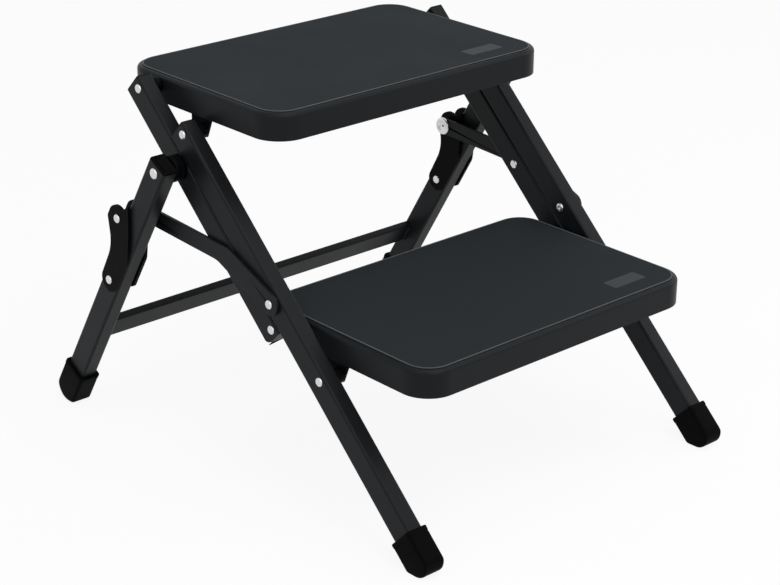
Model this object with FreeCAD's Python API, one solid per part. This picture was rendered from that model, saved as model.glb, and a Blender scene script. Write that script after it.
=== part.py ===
import FreeCAD, Part
import math
import os
from FreeCAD import Vector

# A folding stool with two steps, in millimetres, +Z up, its front towards -Y.
# The front legs, the two treads and the rear bars make a parallelogram on each side.
# The rear legs hang from the rear bars, and a brace and a lever on each side hold them open.
# The origin is on the floor, midway between the sides and between the front and rear ends.

# Heights, slopes and the spacing of the pivots
UPPER_TREAD_HEIGHT = 430.0
LOWER_TREAD_HEIGHT = 213.0
FRONT_LEG_SLOPE = 43.5
REAR_LEG_SLOPE = 59.5
TREAD_ABOVE_PIVOT = 45.6
PIVOT_AHEAD_OF_LEG_AXIS = 6.0
BRACE_PIVOT_ABOVE_LOWER = 101.3
REAR_LEG_PIVOT_ABOVE_LOWER = 213.0
REAR_LEG_PIVOT_AHEAD = 3.0
LINK_RISE = 81.0
LEVER_PIVOT_DROP = 177.0
BRACE_ARM_SLOPE = 3.0
SLEEVE_TO_LEG_GAP = 3.262
TUBE_END_BEYOND_PIVOT = 12.0
REAR_BAR_END_BELOW_PIVOT = 10.0

# Rectangular steel tube of the legs and bars
TUBE_DEPTH = 30.0
TUBE_WIDTH = 20.0
TUBE_WALL = 1.5
TUBE_CORNER = 3.0
REAR_BAR_END_ROUND = 13.0

# Pressed treads
TREAD_WIDTH = 412.0
TREAD_DEPTH = 270.0
TREAD_SKIRT = 32.0
TREAD_SHEET = 1.5
TREAD_CORNER = 35.0
TREAD_EDGE_ROUND = 5.0
UPPER_TREAD_MIDDLE_BEHIND = 9.0
LOWER_TREAD_MIDDLE_BEHIND = 0.0
MAT_THICKNESS = 1.0
MAT_INSET = 6.0
LABEL_WIDTH = 50.0
LABEL_DEPTH = 20.0
LABEL_THICKNESS = 0.4
LABEL_ASIDE = 138.0
LABEL_BEHIND_FRONT = 39.5
LABEL_CORNER = 2.0
STIFFENER_WIDTH = 44.0
STIFFENER_DROP = 12.0
STIFFENER_SHEET = 1.2
STIFFENER_END_GAP = 18.0

# Brackets welded inside the skirts
BRACKET_SHEET = 2.5
BRACKET_AHEAD = 23.0
BRACKET_TOP_GAP = 4.0
BRACKET_CORNER = 4.0
LUG_AHEAD = 4.0
LUG_BEHIND = 22.0
LUG_DROP = 9.0
LUG_HEM_CORNER = 2.0
STOP_EAR_BEHIND_PIVOT = 44.0
STOP_EAR_DROP = 23.0
STOP_EAR_ROOT = 10.0
STOP_EAR_TIP_ROUND = 0.4

# Spaces between the layers on each side
TREAD_TO_TUBE = 8.0
PLATE_GAP = 0.4
CHEEK_GAP = 0.3
REAR_BAR_TO_REAR_LEG = 15.0
LEG_TO_BAR_GAP = 0.3

# Braces and levers
BRACE_SHEET = 4.0
BRACE_FRONT_HALF_WIDTH = 13.0
BRACE_REAR_HALF_WIDTH = 10.3
BRACE_BEND_ROUND = 30.0
INNER_CHEEK_SHEET = 4.0
OUTER_CHEEK_SHEET = 3.5
LEVER_EAR_RADIUS = 16.0
LEVER_EAR_LOW_CORNER = 9.6
LEVER_FRONT_EDGE = 16.3
LEVER_END_RADIUS = 13.8
LEVER_HOOK_REACH = 28.0
LEVER_HOOK_BEHIND = 14.0
LEVER_HOOK_CORNER = 0.5
LEVER_NECK_BEHIND = 2.0
LEVER_NECK_ROUND = 1.5
LEVER_WAIST_RISE = 44.0
LEVER_WAIST_BEHIND = 16.0
LEVER_WAIST_ROUND = 48.0
LEVER_FOREHEAD_BELOW = 3.0
LEVER_FOREHEAD_AHEAD = 2.7
LEVER_SHOULDER_RISE = 45.5
SLEEVE_RADIUS = 4.5
COLLAR_RADIUS = 8.0
RING_RADIUS = 11.0
RING_THICKNESS = 3.0
RING_BORE_RADIUS = 1.6

# Rear crossbar
CROSSBAR_DROP = 289.5
CROSSBAR_HEIGHT = 30.0
CROSSBAR_THICKNESS = 10.0
CROSSBAR_WALL = 1.2
CROSSBAR_CORNER = 2.0

# Rivets, washers and spacers
RIVET_RADIUS = 3.0
RIVET_FIT = 0.05
RIVET_HEAD_RADIUS = 5.2
RIVET_HEAD_HEIGHT = 2.0
RIVET_HEAD_ROUND = 1.2
MAIN_RIVET_HEAD_RADIUS = 6.2
WASHER_RADIUS = 8.5
WASHER_SEAT_GAP = 0.1
SPACER_RADIUS = 15.0

# Rubber feet and plastic plugs
FOOT_WALL = 4.0
FOOT_SOLE = 4.0
FRONT_FOOT_LENGTH = 51.0
REAR_FOOT_LENGTH = 57.0
FOOT_TOE_ROUND = 15.0
FOOT_HEEL_ROUND = 4.0
FOOT_EDGE_ROUND = 3.0
FOOT_FIT = 0.1
PLUG_FLANGE = 2.0
PLUG_TO_RIVET = 1.0
PLUG_FIT = 0.1

# Distances from the middle plane to each layer
tread_half = TREAD_WIDTH / 2
bracket_outer = tread_half - TREAD_SHEET
bracket_inner = bracket_outer - BRACKET_SHEET
tube_inner = tread_half + TREAD_TO_TUBE
tube_outer = tube_inner + TUBE_WIDTH
brace_inner = tube_outer + PLATE_GAP
brace_outer = brace_inner + BRACE_SHEET
rear_leg_inner = tube_outer + REAR_BAR_TO_REAR_LEG
rear_leg_outer = rear_leg_inner + TUBE_WIDTH
cheek_in_outer = rear_leg_inner - CHEEK_GAP
cheek_in_inner = cheek_in_outer - INNER_CHEEK_SHEET
cheek_out_inner = rear_leg_outer + CHEEK_GAP
cheek_out_outer = cheek_out_inner + OUTER_CHEEK_SHEET
hole_radius = RIVET_RADIUS + RIVET_FIT

# Turns a shape drawn in the XY plane into the side plane, X to Y and Y to Z
SIDE_TURN = FreeCAD.Rotation(Vector(1, 1, 1), 120)


def travel(start, direction, forward, aside=0.0):
    """Side-plane point (y, z) reached from a start, forward along a slope and aside to its left."""
    angle = math.radians(direction)
    y = start[0] + forward * math.cos(angle) - aside * math.sin(angle)
    z = start[1] + forward * math.sin(angle) + aside * math.cos(angle)
    return (y, z)


def slope(start, end):
    """Slope in degrees from one side-plane point to another."""
    return math.degrees(math.atan2(end[1] - start[1], end[0] - start[0]))


def crossing(start_a, slope_a, start_b, slope_b):
    """Point where two lines in the side plane meet."""
    a = math.radians(slope_a)
    b = math.radians(slope_b)
    across = (start_b[0] - start_a[0]) * math.sin(b) - (start_b[1] - start_a[1]) * math.cos(b)
    return travel(start_a, slope_a, across / math.sin(b - a))


def rounded_wire(corners):
    """Closed wire in the XY plane through (x, y, radius) corners, each rounded by its radius."""
    stretches = []
    for index, (x, y, radius) in enumerate(corners):
        here = Vector(x, y, 0)
        before = Vector(corners[index - 1][0], corners[index - 1][1], 0) - here
        following = corners[(index + 1) % len(corners)]
        after = Vector(following[0], following[1], 0) - here
        half = before.getAngle(after) / 2
        trim = radius / math.tan(half)
        before.normalize()
        after.normalize()
        middle = before + after
        middle.normalize()
        crown = here + middle * (radius / math.sin(half) - radius)
        stretches.append((here + before * trim, crown, here + after * trim, radius))
    edges = []
    for index, (start, crown, end, radius) in enumerate(stretches):
        last_end = stretches[index - 1][2]
        if last_end.distanceToPoint(start) > 1e-6:
            edges.append(Part.LineSegment(last_end, start).toShape())
        if radius > 0:
            edges.append(Part.Arc(start, crown, end).toShape())
    return Part.Wire(edges)


def slab(corners, low, high):
    """Plate with its outline in plan, between two heights."""
    plate = Part.Face(rounded_wire(corners)).extrude(Vector(0, 0, high - low))
    plate.translate(Vector(0, 0, low))
    return plate


def side_plate(corners, inner, outer):
    """Plate with its outline in the side plane, between two distances from the middle plane."""
    plate = Part.Face(rounded_wire(corners)).extrude(Vector(0, 0, outer - inner))
    plate.Placement = FreeCAD.Placement(Vector(inner, 0, 0), SIDE_TURN)
    return plate


def rectangle(x_half, low, high, radius):
    """Corners of a plan rectangle centred on the middle plane, from a low to a high y."""
    return [(-x_half, low, radius), (x_half, low, radius), (x_half, high, radius), (-x_half, high, radius)]


def bar(start, direction, length, depth, width, corner, middle):
    """Solid bar of rounded rectangular section that runs from a side-plane point along a slope."""
    section = rounded_wire([(-width / 2, -depth / 2, corner), (width / 2, -depth / 2, corner),
                            (width / 2, depth / 2, corner), (-width / 2, depth / 2, corner)])
    solid = Part.Face(section).extrude(Vector(0, 0, length))
    turn = FreeCAD.Rotation(Vector(1, 0, 0), direction - 90)
    solid.Placement = FreeCAD.Placement(Vector(middle, start[0], start[1]), turn)
    return solid


def tube(start, direction, length, middle):
    """Rectangular steel tube, open at both ends."""
    outside = bar(start, direction, length, TUBE_DEPTH, TUBE_WIDTH, TUBE_CORNER, middle)
    inside = bar(start, direction, length, TUBE_DEPTH - 2 * TUBE_WALL, TUBE_WIDTH - 2 * TUBE_WALL,
                 TUBE_CORNER - TUBE_WALL, middle)
    return outside.cut(inside)


def pin(pivot, inner, outer, radius):
    """Round bar across the side plane, centred on a pivot."""
    return Part.makeCylinder(radius, outer - inner, Vector(inner, pivot[0], pivot[1]), Vector(1, 0, 0))


def drilled(shape, pivots, radius):
    """Shape with a hole through it at each pivot."""
    box = shape.BoundBox
    for pivot in pivots:
        shape = shape.cut(pin(pivot, box.XMin - 1, box.XMax + 1, radius))
    return shape


def head(pivot, seat, outward, radius):
    """Rivet head on a face, rounded on its outer edge; outward is 1 or -1."""
    low = min(seat, seat + outward * RIVET_HEAD_HEIGHT)
    disc = pin(pivot, low, low + RIVET_HEAD_HEIGHT, radius)
    crown = seat + outward * RIVET_HEAD_HEIGHT
    rim = [edge for edge in disc.Edges
           if abs(edge.BoundBox.XMin - crown) < 1e-6 and edge.BoundBox.XLength < 1e-6]
    return disc.makeFillet(RIVET_HEAD_ROUND, rim)


def rivet(pivot, inner, outer, head_radius, heads=(True, True)):
    """Rivet between an inner and an outer face, with a formed head at each end that has one."""
    body = pin(pivot, inner, outer, RIVET_RADIUS)
    if heads[0]:
        body = body.fuse(head(pivot, inner, -1, head_radius))
    if heads[1]:
        body = body.fuse(head(pivot, outer, 1, head_radius))
    return body.removeSplitter()


def washer(pivot, inner, outer, radius):
    """Plain washer or spacer ring with a running bore for the rivet."""
    return drilled(pin(pivot, inner, outer, radius), [pivot], hole_radius)


def mirrored(shape):
    """The same shape on the left side."""
    return shape.mirror(Vector(0, 0, 0), Vector(1, 0, 0))


# Pivots, as (y, z) in the side plane, from the lower front pivot
lower_front = (0.0, LOWER_TREAD_HEIGHT - TREAD_ABOVE_PIVOT)
step_rise = UPPER_TREAD_HEIGHT - LOWER_TREAD_HEIGHT
pivot_pitch = step_rise / math.sin(math.radians(FRONT_LEG_SLOPE))
upper_front = travel(lower_front, FRONT_LEG_SLOPE, pivot_pitch)
layer_step = TUBE_DEPTH + LEG_TO_BAR_GAP
lower_rear = travel(lower_front, FRONT_LEG_SLOPE, LINK_RISE, -layer_step)
upper_rear = travel(lower_rear, FRONT_LEG_SLOPE, pivot_pitch)
brace_front = travel(lower_front, FRONT_LEG_SLOPE, BRACE_PIVOT_ABOVE_LOWER, -PIVOT_AHEAD_OF_LEG_AXIS)
brace_middle = travel(lower_rear, FRONT_LEG_SLOPE, BRACE_PIVOT_ABOVE_LOWER, -PIVOT_AHEAD_OF_LEG_AXIS)
rear_leg_top = travel(lower_rear, FRONT_LEG_SLOPE, REAR_LEG_PIVOT_ABOVE_LOWER,
                      REAR_LEG_PIVOT_AHEAD - PIVOT_AHEAD_OF_LEG_AXIS)
rear_leg_up = 180.0 - REAR_LEG_SLOPE
lever_foot = travel(rear_leg_top, rear_leg_up, -LEVER_PIVOT_DROP)
behind_leg = travel(rear_leg_top, rear_leg_up, 0.0, -TUBE_DEPTH / 2 - SLEEVE_TO_LEG_GAP - SLEEVE_RADIUS)
brace_end = crossing(brace_middle, BRACE_ARM_SLOPE, behind_leg, rear_leg_up)

# Axes of the tubes, and where they meet the floor
front_axis = travel(lower_front, FRONT_LEG_SLOPE, 0.0, -PIVOT_AHEAD_OF_LEG_AXIS)
front_floor = travel(front_axis, FRONT_LEG_SLOPE, -front_axis[1] / math.sin(math.radians(FRONT_LEG_SLOPE)))
bar_axis = travel(lower_rear, FRONT_LEG_SLOPE, 0.0, -PIVOT_AHEAD_OF_LEG_AXIS)
rear_leg_length = rear_leg_top[1] / math.sin(math.radians(REAR_LEG_SLOPE))
rear_floor = travel(rear_leg_top, rear_leg_up, -rear_leg_length)
tube_middle = (tube_inner + tube_outer) / 2
rear_leg_middle = (rear_leg_inner + rear_leg_outer) / 2


def sole_start(direction):
    """Distance up a leg's axis from the floor at which its square end clears the sole."""
    angle = math.radians(direction)
    return (abs(math.cos(angle)) * TUBE_DEPTH / 2 + FOOT_SOLE) / math.sin(angle)


def front_leg():
    """Front leg tube, drilled for both front tread pivots and the brace."""
    start = travel(front_floor, FRONT_LEG_SLOPE, sole_start(FRONT_LEG_SLOPE))
    end = travel(front_axis, FRONT_LEG_SLOPE, pivot_pitch + TUBE_END_BEYOND_PIVOT - PLUG_FLANGE)
    length = math.dist(start, end)
    return drilled(tube(start, FRONT_LEG_SLOPE, length, tube_middle), [lower_front, brace_front, upper_front],
                   hole_radius)


def rear_bar():
    """Rear bar tube, its lower end closed and rounded off at the back."""
    start = travel(bar_axis, FRONT_LEG_SLOPE, -REAR_BAR_END_BELOW_PIVOT)
    end = travel(bar_axis, FRONT_LEG_SLOPE, pivot_pitch + TUBE_END_BEYOND_PIVOT - PLUG_FLANGE)
    length = math.dist(start, end)
    whole = tube(start, FRONT_LEG_SLOPE, length, tube_middle)
    cap = bar(start, FRONT_LEG_SLOPE, TUBE_WALL, TUBE_DEPTH - 2 * TUBE_WALL, TUBE_WIDTH - 2 * TUBE_WALL,
              TUBE_CORNER - TUBE_WALL, tube_middle)
    half = TUBE_DEPTH / 2
    keep = []
    for along, aside, radius in [(0.0, half, 0.0), (0.0, -half, REAR_BAR_END_ROUND), (length, -half, 0.0),
                                 (length, half, 0.0)]:
        y, z = travel(start, FRONT_LEG_SLOPE, along, aside)
        keep.append((y, z, radius))
    rounded = whole.fuse(cap).common(side_plate(keep, tube_inner - 1, tube_outer + 1)).removeSplitter()
    return drilled(rounded, [lower_rear, brace_middle, rear_leg_top, upper_rear], hole_radius)


def rear_leg():
    """Rear leg tube, drilled for its top pivot and the lever."""
    start = travel(rear_floor, rear_leg_up, sole_start(rear_leg_up))
    end = travel(rear_leg_top, rear_leg_up, TUBE_END_BEYOND_PIVOT - PLUG_FLANGE)
    length = math.dist(start, end)
    return drilled(tube(start, rear_leg_up, length, rear_leg_middle), [rear_leg_top, lever_foot], hole_radius)


def foot(floor_point, direction, rim, middle):
    """Rubber cap over the end of a leg, flat on the floor, with a rounded bottom."""
    depth_half = TUBE_DEPTH / 2 + FOOT_WALL
    width_half = TUBE_WIDTH / 2 + FOOT_WALL
    drop = depth_half * math.cos(math.radians(direction)) / math.sin(math.radians(direction))
    right_round, left_round = FOOT_HEEL_ROUND, FOOT_TOE_ROUND
    if drop < 0:
        right_round, left_round = left_round, right_round
    corners = []
    for along, aside, radius in [(rim, depth_half, FOOT_EDGE_ROUND), (rim, -depth_half, FOOT_EDGE_ROUND),
                                 (drop, -depth_half, right_round), (-drop, depth_half, left_round)]:
        y, z = travel(floor_point, direction, along, aside)
        corners.append((y, z, radius))
    block = side_plate(corners, middle - width_half, middle + width_half)
    sides = [edge for edge in block.Edges if edge.BoundBox.XLength < 1e-6]
    block = block.makeFillet(FOOT_EDGE_ROUND, sides)
    start = travel(floor_point, direction, sole_start(direction) - FOOT_FIT)
    socket = bar(start, direction, rim, TUBE_DEPTH + 2 * FOOT_FIT, TUBE_WIDTH + 2 * FOOT_FIT,
                 TUBE_CORNER + FOOT_FIT, middle)
    return block.cut(socket)


def plug(end, direction, flange, middle):
    """Plastic plug in the end of a tube: a flange on the end and a body inside the bore."""
    lid = bar(end, direction, flange, TUBE_DEPTH, TUBE_WIDTH, TUBE_CORNER, middle)
    rim = [edge for edge in lid.Edges if min(math.dist((point.Point.y, point.Point.z), end)
                                             for point in edge.Vertexes) > TUBE_DEPTH / 2 - TUBE_CORNER
           and all(far_side(point.Point, end, direction, flange) for point in edge.Vertexes)]
    lid = lid.makeFillet(min(TUBE_CORNER, flange) / 2, rim)
    depth = TUBE_END_BEYOND_PIVOT - PLUG_FLANGE - RIVET_RADIUS - PLUG_TO_RIVET
    start = travel(end, direction, -depth)
    body = bar(start, direction, depth, TUBE_DEPTH - 2 * (TUBE_WALL + PLUG_FIT),
               TUBE_WIDTH - 2 * (TUBE_WALL + PLUG_FIT), TUBE_CORNER - TUBE_WALL, middle)
    return lid.fuse(body).removeSplitter()


def far_side(point, end, direction, reach):
    """Whether a point lies the given reach beyond an end along its slope."""
    angle = math.radians(direction)
    along = (point.y - end[0]) * math.cos(angle) + (point.z - end[1]) * math.sin(angle)
    return abs(along - reach) < 1e-6


def crossbar():
    """Flat tube welded between the rear legs, flush with their rear faces."""
    aside = CROSSBAR_THICKNESS / 2 - TUBE_DEPTH / 2
    low = travel(rear_leg_top, rear_leg_up, -CROSSBAR_DROP - CROSSBAR_HEIGHT / 2, aside)
    outside = bar(low, rear_leg_up, CROSSBAR_HEIGHT, CROSSBAR_THICKNESS, 2 * rear_leg_inner, 0.0, 0.0)
    long_edges = [edge for edge in outside.Edges if edge.BoundBox.XLength > rear_leg_inner]
    outside = outside.makeFillet(CROSSBAR_CORNER, long_edges)
    inner_low = travel(low, rear_leg_up, CROSSBAR_WALL)
    inside = bar(inner_low, rear_leg_up, CROSSBAR_HEIGHT - 2 * CROSSBAR_WALL,
                 CROSSBAR_THICKNESS - 2 * CROSSBAR_WALL, 2 * rear_leg_inner, 0.0, 0.0)
    return outside.cut(inside)


def tread_place(pivot, behind):
    """Front, rear and top of a tread whose middle lies a little behind its front pivot."""
    middle = pivot[0] + behind
    return middle - TREAD_DEPTH / 2, middle + TREAD_DEPTH / 2, pivot[1] + TREAD_ABOVE_PIVOT - MAT_THICKNESS


def tread(pivot, behind):
    """Pressed steel tread: a flat top with a skirt all round, open below."""
    front, rear, top = tread_place(pivot, behind)
    bottom = top + MAT_THICKNESS - TREAD_SKIRT
    outside = slab(rectangle(tread_half, front, rear, TREAD_CORNER), bottom, top)
    outside = outside.makeFillet(TREAD_EDGE_ROUND, edges_at(outside, top))
    inside = slab(rectangle(tread_half - TREAD_SHEET, front + TREAD_SHEET, rear - TREAD_SHEET,
                            TREAD_CORNER - TREAD_SHEET), bottom, top - TREAD_SHEET)
    inside = inside.makeFillet(TREAD_EDGE_ROUND - TREAD_SHEET, edges_at(inside, top - TREAD_SHEET))
    return outside.cut(inside)


def edges_at(shape, height):
    """Edges of a shape that lie flat at one height."""
    return [edge for edge in shape.Edges
            if abs(edge.BoundBox.ZMin - height) < 1e-6 and edge.BoundBox.ZLength < 1e-6]


def mat(pivot, behind):
    """Rubber mat on a tread, with a pocket for the label blank."""
    front, rear, top = tread_place(pivot, behind)
    inset = MAT_INSET
    sheet = slab(rectangle(tread_half - inset, front + inset, rear - inset, TREAD_CORNER - inset),
                 top, top + MAT_THICKNESS)
    sheet = sheet.makeFillet(MAT_THICKNESS / 2, edges_at(sheet, top + MAT_THICKNESS))
    return sheet.cut(label_plate(pivot, behind))


def label_plate(pivot, behind):
    """Bare rectangular plate let into the mat near its right front corner."""
    front, rear, top = tread_place(pivot, behind)
    middle = front + LABEL_BEHIND_FRONT
    plate = slab(rectangle(LABEL_WIDTH / 2, middle - LABEL_DEPTH / 2, middle + LABEL_DEPTH / 2, LABEL_CORNER),
                 top + MAT_THICKNESS - LABEL_THICKNESS, top + MAT_THICKNESS)
    plate.translate(Vector(LABEL_ASIDE, 0, 0))
    return plate


def stiffener(pivot, behind):
    """Channel welded across the underside of a tread, from bracket to bracket."""
    front, rear, top = tread_place(pivot, behind)
    middle = (front + rear) / 2
    under = top - TREAD_SHEET
    reach = bracket_inner - STIFFENER_END_GAP
    half = STIFFENER_WIDTH / 2
    flange = half / 2
    sheet = STIFFENER_SHEET
    profile = [(middle - half, under), (middle - half, under - sheet),
               (middle - flange - sheet, under - sheet), (middle - flange, under - STIFFENER_DROP),
               (middle + flange, under - STIFFENER_DROP), (middle + flange + sheet, under - sheet),
               (middle + half, under - sheet), (middle + half, under),
               (middle + flange, under), (middle + flange - sheet, under - STIFFENER_DROP + sheet),
               (middle - flange + sheet, under - STIFFENER_DROP + sheet), (middle - flange, under)]
    return side_plate([(y, z, 0.0) for y, z in profile], -reach, reach)


def bracket(pivot, rear_pivot, behind, ear):
    """Steel plate inside a skirt that carries the front and rear pivots of a tread."""
    under = tread_place(pivot, behind)[2] - TREAD_SHEET - BRACKET_TOP_GAP
    hem = pivot[1] + TREAD_ABOVE_PIVOT - TREAD_SKIRT
    rear = tread_place(pivot, behind)[1] - TREAD_CORNER
    round_off = BRACKET_CORNER
    corners = [(rear, under, round_off), (pivot[0] - BRACKET_AHEAD, under, round_off),
               (pivot[0] - LUG_AHEAD, pivot[1] - LUG_DROP, round_off),
               (pivot[0] + LUG_BEHIND, pivot[1] - LUG_DROP, round_off),
               (pivot[0] + LUG_BEHIND, hem, LUG_HEM_CORNER)]
    if ear:
        tip = rear_pivot[0] + STOP_EAR_BEHIND_PIVOT
        corners += [(rear - STOP_EAR_ROOT, hem, LUG_HEM_CORNER),
                    (tip, hem - STOP_EAR_DROP, STOP_EAR_TIP_ROUND),
                    (rear, hem, LUG_HEM_CORNER)]
    else:
        corners += [(rear, hem, round_off)]
    plate = side_plate(corners, bracket_inner, bracket_outer)
    return drilled(plate, [pivot, rear_pivot], hole_radius)


def brace():
    """Flat steel brace with a bend at its middle stud and a round end on each arm."""
    front_slope = slope(brace_middle, brace_front)
    wide = BRACE_FRONT_HALF_WIDTH
    narrow = BRACE_REAR_HALF_WIDTH
    corners = []
    for along, aside in [(wide, wide), (wide, -wide)]:
        y, z = travel(brace_front, front_slope, along, aside)
        corners.append((y, z, wide))
    back = slope(brace_front, brace_middle)
    upper = crossing(travel(brace_middle, back, 0.0, wide), back,
                     travel(brace_middle, BRACE_ARM_SLOPE, 0.0, narrow), BRACE_ARM_SLOPE)
    lower = crossing(travel(brace_middle, back, 0.0, -wide), back,
                     travel(brace_middle, BRACE_ARM_SLOPE, 0.0, -narrow), BRACE_ARM_SLOPE)
    corners.append((upper[0], upper[1], BRACE_BEND_ROUND))
    for along, aside in [(narrow, narrow), (narrow, -narrow)]:
        y, z = travel(brace_end, BRACE_ARM_SLOPE, along, aside)
        corners.append((y, z, narrow))
    corners.append((lower[0], lower[1], BRACE_BEND_ROUND))
    plate = side_plate(corners, brace_inner, brace_outer)
    return drilled(plate, [brace_front, brace_end], hole_radius)


def lever_cheek(inner, outer):
    """Lever plate beside the rear leg: an ear behind the leg at the brace, and a foot pivot on the leg."""
    ear = LEVER_EAR_RADIUS
    end = LEVER_END_RADIUS
    front = LEVER_FRONT_EDGE
    up = math.radians(rear_leg_up)
    rise = (brace_end[0] - lever_foot[0]) * math.cos(up) + (brace_end[1] - lever_foot[1]) * math.sin(up)
    back = (brace_end[0] - lever_foot[0]) * math.sin(up) - (brace_end[1] - lever_foot[1]) * math.cos(up)
    outline = [(rise + LEVER_HOOK_REACH, -LEVER_HOOK_BEHIND, LEVER_HOOK_CORNER),
               (rise + ear, LEVER_NECK_BEHIND - back, LEVER_NECK_ROUND), (rise + ear, -back - ear, ear),
               (rise - LEVER_EAR_LOW_CORNER, -back - ear, ear / 3),
               (LEVER_WAIST_RISE, -LEVER_WAIST_BEHIND, LEVER_WAIST_ROUND), (-end, -end, end),
               (-end, end / 2, end / 2), (-end / 4, front, end / 3), (LEVER_SHOULDER_RISE, front, ear),
               (rise - LEVER_FOREHEAD_BELOW, LEVER_FOREHEAD_AHEAD, 2 * ear)]
    corners = []
    for along, aside, radius in outline:
        y, z = travel(lever_foot, rear_leg_up, along, aside)
        corners.append((y, z, radius))
    return drilled(side_plate(corners, inner, outer), [lever_foot, brace_end], hole_radius)


def brace_ring():
    """Pressed ring on the inner face of a brace, with a hollow stub through the brace."""
    disc = pin(brace_end, brace_inner - RING_THICKNESS, brace_inner, RING_RADIUS)
    rim = [edge for edge in disc.Edges if edge.BoundBox.XMax < brace_inner - RING_THICKNESS + 1e-6]
    disc = disc.makeFillet(RING_THICKNESS / 2, rim)
    stub = pin(brace_end, brace_inner, brace_outer, RIVET_RADIUS)
    return drilled(disc.fuse(stub).removeSplitter(), [brace_end], RING_BORE_RADIUS)


def main_spacer():
    """Black spacer between a rear bar and the top of a rear leg."""
    return washer(rear_leg_top, tube_outer + WASHER_SEAT_GAP, rear_leg_inner - WASHER_SEAT_GAP, SPACER_RADIUS)


def tread_washers(pivot, rear_pivot):
    """Washers between a tread and the tubes, at its front and rear pivots on both sides."""
    front = washer(pivot, bracket_outer + WASHER_SEAT_GAP, tube_inner - WASHER_SEAT_GAP, WASHER_RADIUS)
    rear = washer(rear_pivot, tread_half + WASHER_SEAT_GAP, tube_inner - WASHER_SEAT_GAP, WASHER_RADIUS)
    return [front, rear, mirrored(front), mirrored(rear)]


def skirt_holes(shape, rear_pivot):
    """Tread with its skirt drilled for the rear pivots."""
    return shape.cut(pin(rear_pivot, -tread_half - 1, tread_half + 1, hole_radius))


def pair(shape):
    """A shape and its twin on the left side."""
    return [shape, mirrored(shape)]


pieces = {}


def add_sides(name, shape):
    """Keep a shape as a right piece and its mirrored twin as the left one."""
    pieces[name + "_right"] = [shape]
    pieces[name + "_left"] = [mirrored(shape)]


# Front frame
add_sides("front_leg", front_leg())
add_sides("front_foot", foot(front_floor, FRONT_LEG_SLOPE, FRONT_FOOT_LENGTH, tube_middle))
front_top = travel(front_axis, FRONT_LEG_SLOPE, pivot_pitch + TUBE_END_BEYOND_PIVOT - PLUG_FLANGE)
add_sides("front_leg_plug", plug(front_top, FRONT_LEG_SLOPE, PLUG_FLANGE, tube_middle))
pieces["upper_front_rivets"] = pair(rivet(upper_front, bracket_inner, tube_outer, RIVET_HEAD_RADIUS))
pieces["lower_front_rivets"] = pair(rivet(lower_front, bracket_inner, tube_outer, RIVET_HEAD_RADIUS))
pieces["brace_front_rivets"] = pair(rivet(brace_front, tube_inner, brace_outer, RIVET_HEAD_RADIUS))

# Treads with their mats, label blanks, stiffeners, brackets and washers
for level, front_pivot, rear_pivot, behind in [("upper", upper_front, upper_rear, UPPER_TREAD_MIDDLE_BEHIND),
                                               ("lower", lower_front, lower_rear, LOWER_TREAD_MIDDLE_BEHIND)]:
    pieces[level + "_tread"] = [skirt_holes(tread(front_pivot, behind), rear_pivot)]
    pieces[level + "_mat"] = [mat(front_pivot, behind)]
    pieces[level + "_label_blank"] = [label_plate(front_pivot, behind)]
    pieces[level + "_stiffener"] = [stiffener(front_pivot, behind)]
    add_sides(level + "_bracket", bracket(front_pivot, rear_pivot, behind, level == "lower"))
    pieces[level + "_washers"] = tread_washers(front_pivot, rear_pivot)
    pieces[level + "_rear_rivets"] = pair(rivet(rear_pivot, bracket_inner, tube_outer, RIVET_HEAD_RADIUS))

# Rear bars
add_sides("rear_bar", rear_bar())
bar_top = travel(bar_axis, FRONT_LEG_SLOPE, pivot_pitch + TUBE_END_BEYOND_PIVOT - PLUG_FLANGE)
add_sides("rear_bar_plug", plug(bar_top, FRONT_LEG_SLOPE, PLUG_FLANGE, tube_middle))
pieces["rear_leg_rivets"] = pair(rivet(rear_leg_top, tube_inner, rear_leg_outer, MAIN_RIVET_HEAD_RADIUS))

# Rear legs
add_sides("rear_leg", rear_leg())
add_sides("rear_foot", foot(rear_floor, rear_leg_up, REAR_FOOT_LENGTH, rear_leg_middle))
leg_top = travel(rear_leg_top, rear_leg_up, TUBE_END_BEYOND_PIVOT - PLUG_FLANGE)
add_sides("rear_leg_plug", plug(leg_top, rear_leg_up, PLUG_FLANGE, rear_leg_middle))
add_sides("rear_leg_spacer", main_spacer())
pieces["rear_crossbar"] = [crossbar()]
pieces["lever_foot_rivets"] = pair(rivet(lever_foot, cheek_in_inner, cheek_out_outer, RIVET_HEAD_RADIUS))

# Braces
add_sides("brace", brace())
pieces["brace_middle_rivets"] = pair(rivet(brace_middle, tube_inner, brace_inner, RIVET_HEAD_RADIUS,
                                           (True, False)))
pieces["brace_end_rings"] = pair(brace_ring())

# Levers
add_sides("lever_outer_cheek", lever_cheek(cheek_out_inner, cheek_out_outer))
add_sides("lever_inner_cheek", lever_cheek(cheek_in_inner, cheek_in_outer))
pieces["lever_sleeves"] = pair(washer(brace_end, cheek_in_outer, cheek_out_inner, SLEEVE_RADIUS))
pieces["lever_collars"] = pair(washer(brace_end, brace_outer + PLATE_GAP, cheek_in_inner, COLLAR_RADIUS))
pieces["lever_top_rivets"] = pair(rivet(brace_end, brace_outer + PLATE_GAP, cheek_out_outer,
                                        RIVET_HEAD_RADIUS, (False, True)))

# Shift everything so that the origin is midway between the front and rear ends
whole = Part.makeCompound([solid for group in pieces.values() for solid in group])
whole_box = whole.optimalBoundingBox(False, False)
centre_y = (whole_box.YMin + whole_box.YMax) / 2

os.makedirs("parts", exist_ok=True)
for name, group in pieces.items():
    shape = group[0] if len(group) == 1 else Part.makeCompound(group)
    shape.translate(Vector(0, -centre_y, 0))
    shape.exportStep("parts/" + name + ".step")
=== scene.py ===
import math

import bmesh
import bpy
from mathutils import Matrix, Vector


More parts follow.
